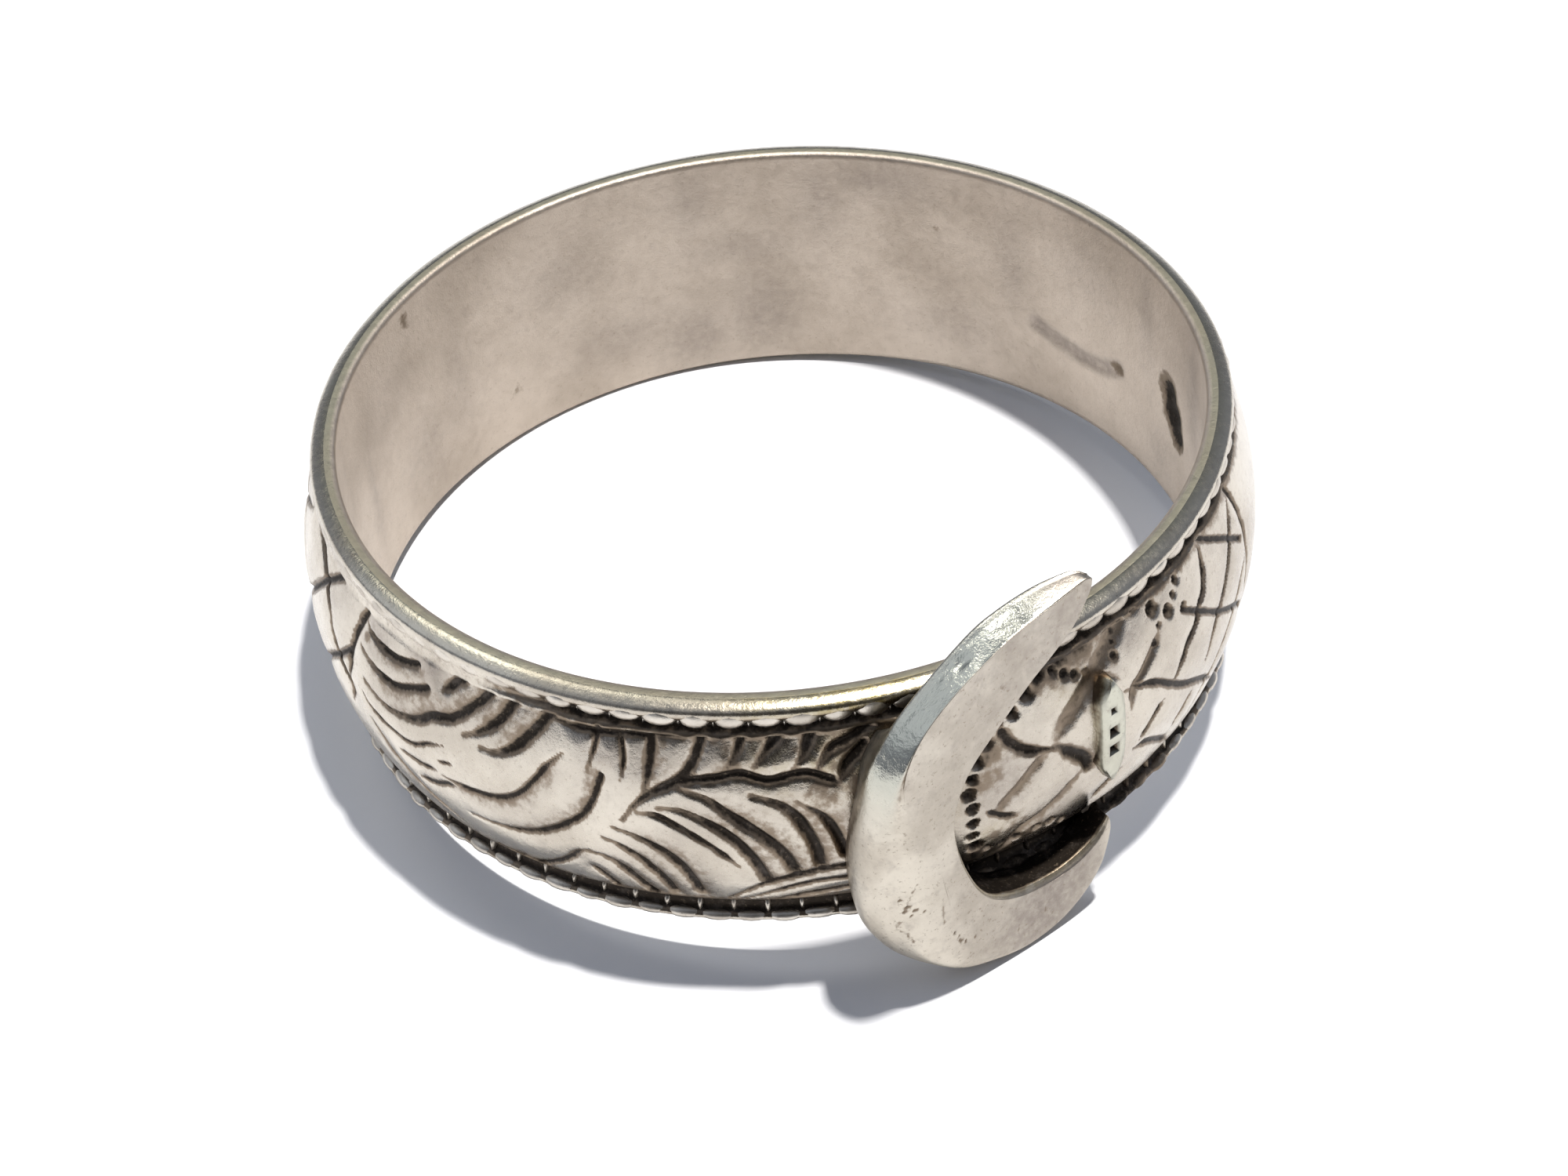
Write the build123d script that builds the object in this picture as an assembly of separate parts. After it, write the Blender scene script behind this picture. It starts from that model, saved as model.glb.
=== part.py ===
from build123d import *
import os
from math import atan, cos, degrees, hypot, radians, sin

# A silver buckle ring lying on its side, in millimetres.
# The origin is the centre of the finger's bore, +Z is up and the buckle faces -Y.
# The ring rests on the buckle's lower edge and on the far edge of the band, so it leans back a little.

# Band
bore_radius = 9.1          # 18.2 mm across, a common finger size
band_width = 5.77          # along the finger
rim_wall = 0.41            # flat of the rim, from the bore to the beaded edge
bead_height = 0.46         # height of the beaded edge, along the finger
bead_bulge = 0.25          # it stands out past the rim by this
groove_wall = 0.36         # wall left under the groove beside the beaded edge
groove_width = 0.14        # floor of the groove
field_wall = 0.60          # wall where the engraved field starts, beside the groove
crown_wall = 1.05          # wall in the middle of the engraved field

# Buckle frame: a crescent cut from plate, with a flat face that is square to one radius of the band
face_lift = 0.10           # its face stands over the crown of the band by this
plate_thickness = 0.75     # of the crescent's horns
bar_thickness = 1.15       # of its bar
heel_radius = 4.20         # its outer curve, round the lower end of the bar
heel_drop = 0.15           # the centre of that curve, below the middle of the band
foot_shift = 1.64          # from that centre to the radius that its face is square to
shoulder_radius = 4.25     # its outer curve, round the upper end of the bar
shoulder_shift = 0.35      # the centre of the upper curve, towards the horns from the centre of the lower one
shoulder_rise = 0.10       # and above it
back_reach = 3.41          # from the centre of the lower curve to the back of the bar
back_radius = 12.0         # the flatter curve of the bar's back
back_corner = 1.30         # round from the bar's back into the outer curves
bar_width = 1.50           # in the middle of the bar
bar_spread = 0.35          # the bar's thickness runs past that width by this
window_radius = 2.75       # its inner curve
window_rise = 0.05         # the centre of the inner curve, above the centre of the lower outer one
window_leave = 124.0       # degrees round the inner curve, where the upper horn runs out straight
upper_reach = 1.35         # the middle of the upper horn's tip, past the centre of the lower outer curve
upper_height = 4.38        # and above it
upper_tip = 0.20           # round of that tip
lower_reach = 2.01         # the lower horn's end, past the centre of the lower outer curve
lower_hook = 0.74          # the lower horn's inner curve comes up by this at its end
lower_corner = 0.80        # round on the lower horn's outer corner
edge_break = 0.13          # broken edge all round the crescent's face
solder_margin = 0.40       # the solder under the crescent stops this far inside the band's edges
solder_root = 0.18         # it fills the grooves there, and reaches this far into the wall under them

# Strap plate: a lozenge with three square holes punched in a row along the finger
lozenge_length = 2.60      # along the finger
lozenge_width = 0.62       # round the band
lozenge_flank = 1.40       # length of its straight sides
lozenge_lift = 0.20        # it stands over the crown by this
lozenge_past = 0.54        # its middle, past the radius that the crescent's face is square to
lozenge_drop = 0.12        # its middle, below the middle of the band
hole_side = 0.24
hole_pitch = 0.48
hole_depth = 0.22
lozenge_root = 0.35        # it is let into the band's wall by this


half_width = band_width / 2
rim_radius = bore_radius + rim_wall
groove_radius = bore_radius + groove_wall
crown_radius = bore_radius + crown_wall
face_distance = crown_radius + face_lift


def band():
    """The closed hoop, upright: flat inside, beaded edges, a groove beside each and a crowned field."""
    field_radius = bore_radius + field_wall
    bead_foot = half_width - bead_height
    bead_middle = half_width - bead_height / 2
    groove_foot = bead_foot - groove_width
    field_foot = groove_foot - (field_wall - groove_wall) / 2
    with BuildSketch(Plane.XZ) as section:
        with BuildLine():
            for side in (1, -1):
                rim = (rim_radius, side * half_width)
                bead_end = (groove_radius, side * bead_foot)
                groove_end = (groove_radius, side * groove_foot)
                field_end = (field_radius, side * field_foot)
                Line((bore_radius, 0), (bore_radius, side * half_width))
                Line((bore_radius, side * half_width), rim)
                ThreePointArc(rim, (rim_radius + bead_bulge, side * bead_middle), bead_end)
                Line(bead_end, groove_end)
                Line(groove_end, field_end)
            ThreePointArc((field_radius, field_foot), (crown_radius, 0), (field_radius, -field_foot))
        make_face()
    return revolve(section.sketch, Axis.Z)


# The centre of the crescent's lower curve is on -Y, so its face is square to a radius this far round from -Y
face_angle = degrees(atan(foot_shift / face_distance))


def tangent_plane(angle, distance):
    """Plane square to a radius of the band: its X runs round the band, its Y along the finger."""
    a = radians(angle)
    out = Vector(sin(a), -cos(a), 0)
    return Plane(origin=out * distance, x_dir=(cos(a), sin(a), 0), z_dir=out)


def crescent_outline():
    """The crescent seen square on, from the centre of its lower outer curve, with its horns towards +X."""
    heel = Circle(heel_radius)
    shoulder = Pos(shoulder_shift, shoulder_rise, 0) * Circle(shoulder_radius)
    tip = Pos(upper_reach, upper_height, 0) * Circle(upper_tip)
    disc = make_hull(heel.edges() + shoulder.edges() + tip.edges())
    disc &= Pos(back_radius - back_reach, heel_drop, 0) * Circle(back_radius)
    disc = fillet(disc.vertices().sort_by(Axis.X)[:2], back_corner)
    window = Vector(bar_width - back_reach + window_radius, window_rise)
    leave = radians(window_leave)
    upper_start = window + Vector(cos(leave), sin(leave)) * window_radius
    upper_far = upper_start + Vector(sin(leave), -cos(leave)) * 2 * heel_radius
    bottom = window + Vector(0, -window_radius)
    hook = Vector(lower_reach, bottom.Y + lower_hook)
    lower_end = Vector(lower_reach, -2 * heel_radius)
    with BuildSketch() as mouth:
        with BuildLine():
            Line(window, bottom)
            TangentArc(bottom, hook, tangent=(1, 0))
            Polyline(hook, lower_end, (upper_far.X, lower_end.Y), upper_far, upper_start, window)
        make_face()
    bow_side = Pos(window.X - window_radius, window.Y, 0) * Rectangle(2 * window_radius, 2 * window_radius)
    bow = bow_side & Pos(window) * Circle(window_radius)
    outline = disc - bow - mouth.sketch
    corner = outline.vertices().sort_by_distance(Vector(lower_reach, -heel_radius))[0]
    return fillet(corner, lower_corner)


def crescent():
    """The buckle's frame, and the solder that joins its back to the band."""
    face = tangent_plane(face_angle, face_distance)
    outline = Pos(-foot_shift, -heel_drop, 0) * crescent_outline()
    plate = extrude(face * outline, -plate_thickness)
    plate = chamfer(plate.faces().sort_by(Axis(face.origin, face.z_dir))[-1].edges(), edge_break)
    bar_side = Pos(bar_width + bar_spread - 2 * back_reach - foot_shift, 0, 0)
    bar = outline & bar_side * Rectangle(2 * back_reach, 4 * heel_radius)
    foot = outline & Rectangle(4 * heel_radius, band_width - 2 * solder_margin)
    plate += extrude(face * Pos(0, 0, -plate_thickness) * bar, plate_thickness - bar_thickness)
    solder = extrude(face * Pos(0, 0, -plate_thickness) * foot, -face_distance)
    solder -= Cylinder(groove_radius - solder_root, 2 * band_width)
    return plate, solder


def strap_plate():
    """The lozenge on the strap, and the blocks that punch its holes."""
    angle = face_angle + degrees(lozenge_past / crown_radius)
    top = tangent_plane(angle, crown_radius + lozenge_lift)
    tip, shoulder, side = lozenge_length / 2, lozenge_flank / 2, lozenge_width / 2
    left = [(0, tip), (-side, shoulder), (-side, -shoulder)]
    right = [(0, -tip), (side, -shoulder), (side, shoulder)]
    outline = Pos(0, -lozenge_drop, 0) * Polygon(*left, *right, align=None)
    plate = extrude(top * outline, -(lozenge_lift + lozenge_root))
    places = GridLocations(0, hole_pitch, 1, 3)
    holes = [extrude(top * place * Rectangle(hole_side, hole_side), -hole_depth) for place in places]
    return plate, holes


def ring():
    """The soldered ring, upright, as one solid."""
    plate, solder = crescent()
    lozenge, holes = strap_plate()
    return band() + [plate, solder, lozenge] - holes


# Lowest place of the crescent, at its back, and the far edge of the rim
heel_distance = hypot(face_distance - plate_thickness, foot_shift)
lean = degrees(atan((heel_radius + heel_drop - half_width) / (heel_distance + rim_radius)))

os.makedirs("parts", exist_ok=True)
resting = Rot(-lean, 0, 0) * ring()
export_step(resting, "parts/buckle_ring.step")
box = resting.bounding_box()
print("lean", round(lean, 3), "solids", len(resting.solids()), "volume", round(resting.volume, 2))
print("low", [round(c, 3) for c in box.min], "high", [round(c, 3) for c in box.max])
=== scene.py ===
import math

import bpy
import numpy as np
from mathutils import Matrix, Vector


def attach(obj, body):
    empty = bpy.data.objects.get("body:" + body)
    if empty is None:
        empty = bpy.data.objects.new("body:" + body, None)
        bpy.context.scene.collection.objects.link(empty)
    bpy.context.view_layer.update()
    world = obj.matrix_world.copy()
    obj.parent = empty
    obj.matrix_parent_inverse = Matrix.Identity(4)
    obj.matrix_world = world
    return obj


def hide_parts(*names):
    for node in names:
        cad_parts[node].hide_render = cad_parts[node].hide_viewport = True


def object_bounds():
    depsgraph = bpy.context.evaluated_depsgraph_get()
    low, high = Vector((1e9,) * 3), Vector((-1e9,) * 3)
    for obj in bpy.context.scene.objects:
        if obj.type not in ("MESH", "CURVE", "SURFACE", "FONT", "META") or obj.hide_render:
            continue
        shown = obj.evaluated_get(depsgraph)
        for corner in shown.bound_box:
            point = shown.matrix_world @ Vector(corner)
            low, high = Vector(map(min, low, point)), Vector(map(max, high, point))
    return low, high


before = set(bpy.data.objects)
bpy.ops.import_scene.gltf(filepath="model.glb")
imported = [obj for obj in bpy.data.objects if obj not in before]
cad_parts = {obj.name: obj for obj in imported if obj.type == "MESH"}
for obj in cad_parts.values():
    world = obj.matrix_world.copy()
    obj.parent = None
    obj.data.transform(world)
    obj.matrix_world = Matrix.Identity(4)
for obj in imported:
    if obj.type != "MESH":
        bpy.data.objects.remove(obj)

box_at_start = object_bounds()


# Camera: a phone held close, a little to the left of the buckle and looking down into the ring.
# The ring leans back on the buckle's lower edge, so the view is set up square to the ring and leant with it.
lean = math.radians(4.375)
face_turn = math.radians(9.09)      # the buckle's face is square to a radius this far past its centre
front_turn = math.radians(34.0) - face_turn
distance = 71.748                   # in millimetres, from the middle of the ring
elevation = math.radians(39.0486)
aside = math.radians(-0.041)
above = math.radians(1.4656)
roll = math.radians(5.4057)


def lay(points):
    """Points of the ring standing square, in millimetres, to where it lies, in metres."""
    p = np.asarray(points, float) * 0.001
    x, y, z = p[..., 0], p[..., 1], p[..., 2]
    return np.stack([x, y * math.cos(lean) + z * math.sin(lean), z * math.cos(lean) - y * math.sin(lean)], -1)


high, level = math.sin(elevation), math.cos(elevation)
square_on = Matrix(((1, 0, 0), (0, high, level), (0, -level, high)))
aimed = Matrix.Rotation(above, 3, "X") @ Matrix.Rotation(aside, 3, "Y") @ square_on
turned = Matrix.Rotation(roll, 3, "Z") @ aimed
around = Matrix.Rotation(-front_turn, 3, "Z")
spot = np.array(around) @ np.array([0.0, -distance * level, distance * high])
lens_data = bpy.data.cameras.new("phone")
lens_data.sensor_width = 36.0
lens_data.lens = 76.697
lens_data.clip_start = 0.002
lens_data.clip_end = 20.0
camera = bpy.data.objects.new("phone", lens_data)
bpy.context.scene.collection.objects.link(camera)
pose = (Matrix.Rotation(-lean, 3, "X") @ around @ turned.transposed()).to_4x4()
pose.translation = [float(c) for c in lay(spot)]
camera.matrix_world = pose
bpy.context.scene.camera = camera


# Table and light: a white table under one small soft lamp, above and a little behind the ring to its right.
# The table is brighter than the picture can hold, so only its blue-grey shadows show. The room is a plain
# gradient with three soft patches, which show in the polished metal.
table_half = 0.6
table_white = (0.86, 0.87, 0.90, 1)
lamp_place = (0.071, 0.019, 0.480)       # right of the camera's line, away from the camera, and up
lamp_size = 0.024
lamp_power = 2.75
lamp_colour = (1.0, 0.97, 0.93)
horizon_colour = (0.22, 0.24, 0.29, 1)
ceiling_colour = (0.28, 0.31, 0.375, 1)
# Patches of the room: the way to each, its colour, and how nearly that way it starts and is full.
room_patches = {
    "dark side behind the camera": ((0.0, -0.95, 0.32), (0.05, 0.05, 0.055, 1), 0.62, 0.90),
    "pale wall to the left": ((-0.78, 0.18, 0.67), (0.74, 0.80, 0.90, 1), 0.89, 0.965),
    "window high behind the ring": ((-0.34, 0.48, 0.80), (5.0, 5.0, 4.9, 1), 0.978, 0.994),
}


class NodeBench:
    """Builds nodes in one tree. An input is given a value, or a socket that it is linked to."""

    def __init__(self, tree):
        self.tree = tree

    def feed(self, node, inputs):
        for name, value in inputs.items():
            if isinstance(value, bpy.types.NodeSocket):
                self.tree.links.new(value, node.inputs[name])
            else:
                node.inputs[name].default_value = value

    def add(self, kind, inputs=None, **settings):
        node = self.tree.nodes.new(kind)
        for setting, value in settings.items():
            setattr(node, setting, value)
        self.feed(node, inputs or {})
        return node

    def number(self, operation, a, b, limit=False):
        return self.add("ShaderNodeMath", {0: a, 1: b}, operation=operation, use_clamp=limit).outputs[0]

    def spread(self, value, low, high, to_low=0.0, to_high=1.0):
        inputs = {"Value": value, "From Min": low, "From Max": high, "To Min": to_low, "To Max": to_high}
        return self.add("ShaderNodeMapRange", inputs, interpolation_type="SMOOTHSTEP").outputs[0]

    def blend(self, amount, a, b, kind="RGBA"):
        inputs = {"Factor": amount, "A": a, "B": b}
        return self.add("ShaderNodeMix", inputs, data_type=kind).outputs["Result"]

    def noise(self, size, detail, rough=0.5):
        place = self.add("ShaderNodeTexCoord").outputs["Object"]
        inputs = {"Vector": place, "Scale": size, "Detail": detail, "Roughness": rough}
        return self.add("ShaderNodeTexNoise", inputs).outputs["Fac"]

    def mark(self, name):
        return self.add("ShaderNodeAttribute", attribute_name=name).outputs["Fac"]


table_height = box_at_start[0].z
table_mesh = bpy.data.meshes.new("table")
corners = [(x * table_half, y * table_half, table_height) for x, y in ((-1, -1), (1, -1), (1, 1), (-1, 1))]
table_mesh.from_pydata(corners, [], [(0, 1, 2, 3)])
table = bpy.data.objects.new("table", table_mesh)
bpy.context.scene.collection.objects.link(table)

white_finish = bpy.data.materials.new("white_table")
white_finish.use_nodes = True
bench = NodeBench(white_finish.node_tree)
grain = bench.noise(900.0, 2.0)
relief = bench.add("ShaderNodeBump", {"Height": grain, "Strength": 0.05, "Distance": 0.0002})
bench.feed(white_finish.node_tree.nodes["Principled BSDF"], {
    "Base Color": table_white, "Roughness": 0.7, "Specular IOR Level": 0.2,
    "Normal": relief.outputs["Normal"],
})
table_mesh.materials.append(white_finish)

room = bpy.data.worlds.new("room")
bpy.context.scene.world = room
room.use_nodes = True
bench = NodeBench(room.node_tree)
way = bench.add("ShaderNodeTexCoord").outputs["Generated"]
up_share = bench.add("ShaderNodeSeparateXYZ", {"Vector": way}).outputs["Z"]
seen = bench.blend(up_share, horizon_colour, ceiling_colour)
for patch_way, patch_colour, start, full in room_patches.values():
    towards = (around @ Vector(patch_way)).normalized()
    facing = bench.add("ShaderNodeVectorMath", {0: way, 1: towards}, operation="DOT_PRODUCT").outputs["Value"]
    seen = bench.blend(bench.spread(facing, start, full), seen, patch_colour)
bench.feed(room.node_tree.nodes["Background"], {"Color": seen})
bpy.context.scene.view_settings.view_transform = "Standard"

lamp_data = bpy.data.lights.new("lamp", "AREA")
lamp_data.size = lamp_size
lamp_data.energy = lamp_power
lamp_data.color = lamp_colour
lamp = bpy.data.objects.new("lamp", lamp_data)
bpy.context.scene.collection.objects.link(lamp)
lamp_at = around @ Vector(lamp_place)
lamp.matrix_world = Matrix.Translation(lamp_at) @ lamp_at.to_track_quat("Z", "Y").to_matrix().to_4x4()


# Band: a closed hoop of worn silver, flat inside and domed outside, with a groove beside each edge. Its front
# is cut by hand with a graver: leaves left of the buckle, and lattices beyond them and right of it. The metal
# was darkened in the cuts, and wear has polished what stands between them.
bore_radius = 9.10
half_width = 2.885
crown_radius = 10.15
field_radius = 9.70             # at the field's edges
field_half = 2.155
engraved_from, engraved_to = -108.0, 79.0
fine_step = 0.056
plain_columns = 115, 40         # where the inner wall has its dents, and the rest
cut_widening = 1.22             # wear has widened the cuts by this share
unroll_radius = 9.95            # degrees round the field become millimetres at this radius
rim_unevenness = 0.010
groove_worn = -108, -42         # degrees between which the upper groove is worn away,
groove_opens = 30, 16           # and degrees over which it opens past each of them
filled_radius = 9.65            # where it is worn away, up to the foot of the rim's bevel
bevel_foot = 2.65
edge_dirt = 0.45                # how dark the field is at its edges,
edge_dirt_reach = 0.22          # and how far in from them
window_middle = 33.0            # degrees to the middle of the buckle's window
inner_finish_radius = 9.20      # inside it the rim's finish ends and the inner wall's begins
silver_light = (0.66, 0.605, 0.515, 1)
silver_inside = (0.58, 0.505, 0.425, 1)
silver_rim = (0.35, 0.33, 0.25, 1)
# The patina colours also serve for painted shade, which the cut mark carries with the patina.
patina_and_shade_brown = (0.235, 0.185, 0.135, 1)
patina_and_shade_black = (0.030, 0.024, 0.019, 1)
stain_yellow = (0.37, 0.30, 0.145, 1)
haze_and_shade_grey = (0.275, 0.235, 0.205, 1)

# Strokes of the graver, each a row of: width and depth in millimetres, its fine end, the side of it that is
# shaded (1 left of the way it runs, -1 right, 0 neither), and its points in degrees and millimetres up.
lattice_left = [
    (0.20, 0.14, "start", 0, [(-104, -2.0), (-92, -1.0), (-80, 0.3), (-71.5, 1.6), (-65, 2.4),
        (-60.5, 2.7)]),
    (0.17, 0.11, "both", 0, [(-90, -2.1), (-80, -1.7), (-75, -0.9), (-70, -0.1), (-65, 0.6), (-62, 1.2),
        (-61, 2.0)]),
    (0.17, 0.11, "both", 0, [(-104, 0.0), (-96, 0.8), (-88, 1.6), (-82, 2.1)]),
    (0.16, 0.10, "both", 0, [(-92, 2.1), (-86, 1.2), (-80, 0.4), (-74, -0.6), (-69, -1.6)]),
    (0.21, 0.14, "end", 0, [(-79, 2.3), (-75.5, 2.15), (-72, 1.75), (-69, 1.2), (-67, 0.6)]),
    (0.20, 0.14, "both", 0, [(-68.5, 0.9), (-66.5, 0.45), (-64.5, 0.2), (-63, 0.0), (-63.4, -0.4)]),
    (0.20, 0.14, "both", 0, [(-59, 2.6), (-60, 2.1), (-61.5, 1.5), (-62.4, 1.0), (-63.2, 0.2)]),
    (0.16, 0.10, "none", 0, [(-103, 2.2), (-105, 1.4), (-105.6, 0.4), (-105.2, -0.8), (-103.5, -2.1)]),
]
fan = [
    (0.17, 0.13, "start", -1, [(-60, 2.05), (-58, 1.85), (-55, 1.75), (-52, 1.8), (-49, 1.95)]),
    (0.20, 0.14, "start", -1, [(-60, 1.4), (-57, 1.2), (-53, 1.15), (-50, 1.35), (-47, 1.6)]),
    (0.26, 0.17, "start", 1, [(-59, 0.65), (-56, 0.52), (-53, 0.5), (-49, 0.7), (-46, 1.05), (-43, 1.25),
        (-39.5, 1.8), (-37.5, 2.2), (-36, 2.6)]),
    (0.12, 0.08, "both", 0, [(-59.5, 0.3), (-58, 0.05), (-54, -0.05), (-50, 0.0), (-47, 0.3), (-44, 0.55)]),
    (0.09, 0.06, "both", 0, [(-45.5, 0.0), (-43, 0.15)]),
    (0.16, 0.09, "both", -1, [(-58.5, -0.3), (-56, -0.8), (-53, -1.2), (-49, -1.6), (-45, -1.85)]),
    (0.12, 0.08, "both", 0, [(-53, -0.5), (-49, -0.45), (-46, -0.3)]),
    (0.15, 0.08, "both", 0, [(-50, -0.95), (-47, -0.8), (-45, -0.6), (-43, -0.45)]),
    (0.26, 0.17, "both", 0, [(-44.5, 1.75), (-42, 2.15), (-40, 2.4)]),
    (0.28, 0.18, "start", 1, [(-41, 1.05), (-38.5, 1.3), (-36, 1.7), (-34.5, 2.1), (-33, 2.5)]),
    (0.29, 0.18, "start", 1, [(-38.5, 0.95), (-36, 1.0), (-33.5, 1.3), (-31, 1.8), (-29, 2.3)]),
    (0.17, 0.10, "both", -1, [(-45, -0.35), (-41, -0.35), (-37, -0.2), (-34, 0.1), (-31.5, 0.6),
        (-29.5, 1.1), (-27.5, 1.5)]),
    (0.18, 0.15, "start", 1, [(-42, -1.2), (-37, -1.1), (-33, -0.9), (-30, -0.6), (-27.5, -0.25),
        (-25.5, 0.1), (-24, 0.6), (-23, 1.15)]),
    (0.17, 0.11, "both", 0, [(-40, -2.1), (-37, -2.2), (-34, -2.15), (-31, -1.8), (-28.5, -1.4),
        (-27, -1.05), (-25.5, -0.9)]),
    (0.13, 0.10, "end", 0, [(-23.2, 2.3), (-23.6, 1.8), (-24.6, 1.2)]),
    (0.13, 0.10, "end", 0, [(-20.4, 2.0), (-20.2, 1.6), (-20.5, 1.15)]),
    (0.25, 0.16, "end", 1, [(-16.8, 2.4), (-17.3, 1.5), (-18, 0.9)]),
]
stem = [
    (0.24, 0.16, "start", 0, [(-20.7, 0.2), (-19, 0.65), (-17, 0.95), (-14.2, 1.25), (-12.5, 1.6),
        (-11.5, 2.0), (-10.5, 2.5)]),
    (0.22, 0.15, "none", 0, [(-14, 1.25), (-10, 1.35), (-7, 1.45), (-4, 1.3), (0, 1.4), (3, 1.2)]),
    (0.15, 0.11, "both", 0, [(-29, 2.12), (-26, 2.06), (-22, 2.08), (-18, 2.14), (-12, 2.2)]),
]
feathers = [
    (0.16, 0.11, "both", 1, [(-26, -1.45), (-25, -1.7), (-24, -2.0), (-23.5, -2.3)]),
    (0.22, 0.15, "start", 1, [(-25.5, -0.95), (-23.5, -1.05), (-21.5, -1.4), (-20, -1.9), (-19, -2.2)]),
    (0.22, 0.16, "start", 1, [(-23.5, -0.4), (-21.5, -0.55), (-19, -1.0), (-17.3, -1.5), (-16.5, -2.0)]),
    (0.24, 0.16, "start", 1, [(-22, -0.05), (-19.5, -0.2), (-17, -0.5), (-14.8, -0.95), (-13.7, -1.5),
        (-13.3, -1.9)]),
    (0.16, 0.13, "both", 0, [(-19, 0.45), (-16.5, 0.4), (-13, 0.0), (-10.5, -0.4), (-8, -0.9)]),
    (0.26, 0.18, "start", 1, [(-16.5, 0.6), (-14, 0.6), (-11, 0.3), (-8.5, -0.1), (-7, -0.5), (-6, -0.9),
        (-5.2, -1.4)]),
    (0.29, 0.20, "start", 1, [(-14, 1.1), (-11, 0.9), (-8.5, 0.5), (-5, -0.1), (-3, -0.6), (-2, -1.1)]),
    (0.30, 0.21, "start", 1, [(-6, 1.0), (-3, 0.75), (-1, 0.3), (0.5, -0.4), (1, -1.0)]),
    (0.25, 0.17, "start", 1, [(-1, 0.8), (1.5, 0.4), (2.9, -0.1), (3.8, -0.7)]),
    (0.18, 0.14, "start", 0, [(-10, -2.1), (-7, -1.7), (-4.5, -1.45), (0, -1.2), (4, -1.1)]),
    (0.15, 0.10, "start", 0, [(-8, -2.1), (-3.5, -1.75), (0, -1.55), (4, -1.5)]),
    (0.16, 0.11, "start", 0, [(-5, -2.2), (0, -2.0), (4, -1.9)]),
]
ribs = [
    (0.22, 0.16, "start", 1, [(-8.5, 1.55), (-7.3, 1.9), (-6, 2.5)]),
    (0.26, 0.18, "start", 1, [(-5.5, 1.6), (-4, 1.9), (-2.5, 2.2), (-1, 2.6)]),
    (0.26, 0.18, "start", 1, [(-1.2, 1.5), (0, 1.75), (1, 2.1), (2.5, 2.6)]),
    (0.24, 0.16, "start", 1, [(1.3, 1.4), (3, 1.8), (6, 2.0), (8, 2.2)]),
    (0.26, 0.17, "start", 1, [(3.5, 1.1), (5, 1.5), (7, 1.8)]),
]
lattice_right = [
    (0.16, 0.11, "none", 0, [(51.6, 1.3), (54, 1.0), (59.5, 0.25), (66, -0.5), (70, -1.1)]),
    (0.16, 0.11, "none", 0, [(55, 2.6), (59, 2.1), (64, 1.5), (68.5, 0.9)]),
    (0.19, 0.12, "both", 0, [(39.5, 0.75), (41.2, 0.65), (44.8, 0.35), (49.7, -0.35), (55.2, -1.0),
        (60, -1.7)]),
    (0.26, 0.15, "end", 0, [(22.8, 1.25), (23.6, 1.0), (25.5, 0.65), (28.2, 0.45), (29.5, 0.35)]),
    (0.34, 0.17, "start", 0, [(28.2, 0.45), (29.4, 0.4), (31.5, 0.0), (33.2, -0.3), (34.0, -0.6)]),
    (0.20, 0.12, "both", 0, [(41.0, -1.0), (43.9, -1.2), (48.6, -1.85), (50, -2.1)]),
    (0.17, 0.12, "both", 0, [(58, 2.2), (57.3, 1.6), (56, 1.2), (54.7, 1.05), (53.4, 0.75), (51.4, 0.55),
        (49.6, 0.2), (47.3, -0.1)]),
    (0.16, 0.12, "both", 0, [(46, -0.25), (44.6, -0.5), (43, -0.75), (42, -0.85)]),
    (0.15, 0.11, "both", 0, [(68.5, 2.1), (66.5, 1.6), (63.5, 1.0), (61, 0.6), (58.5, 0.25), (56.5, -0.2),
        (55, -0.45)]),
    (0.14, 0.10, "both", 0, [(52.8, -0.95), (51, -1.3), (49.5, -1.55)]),
    (0.13, 0.10, "both", 0, [(69.5, 0.5), (66, -0.1), (62, -0.7), (58, -1.3), (53.5, -1.9)]),
    (0.18, 0.13, "both", 0, [(39.5, -1.4), (37.2, -1.65), (35.6, -1.85)]),
    (0.17, 0.12, "both", 0, [(20, -0.5), (22, -0.8), (24, -1.0)]),
    (0.18, 0.13, "none", 0, [(66.2, 2.9), (68.3, 2.3), (69.8, 1.6), (70.4, 0.8), (70.6, 0.0),
        (70.2, -0.8), (69.0, -1.6), (66.5, -2.3)]),
]
# Broad worn grooves of the strap, which are browner than the cuts.
broad_grooves = [
    (0.50, 0.12, "both", 0, [(42.5, 2.35), (41.4, 2.2), (37.5, 1.8), (34.6, 1.35), (31.7, 1.0),
        (29.7, 0.7), (29, 0.45)]),
    (0.30, 0.11, "both", 0, [(28.4, 0.45), (26.1, 0.15), (24.3, -0.15), (22.3, -0.45), (21, -0.7)]),
    (0.24, 0.11, "both", 0, [(33, -0.5), (32.5, -0.6), (30.6, -0.95), (28.8, -1.2), (26.9, -1.4),
        (24.8, -1.55), (23.5, -1.9), (21.6, -2.1)]),
    (0.24, 0.12, "both", 0, [(46.7, 1.45), (45.5, 1.2), (44, 1.0), (42.4, 0.8), (41, 0.65), (40.3, 0.2)]),
    (0.20, 0.09, "both", 0, [(33.5, 1.75), (36, 1.5), (39, 1.1)]),
]
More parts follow.
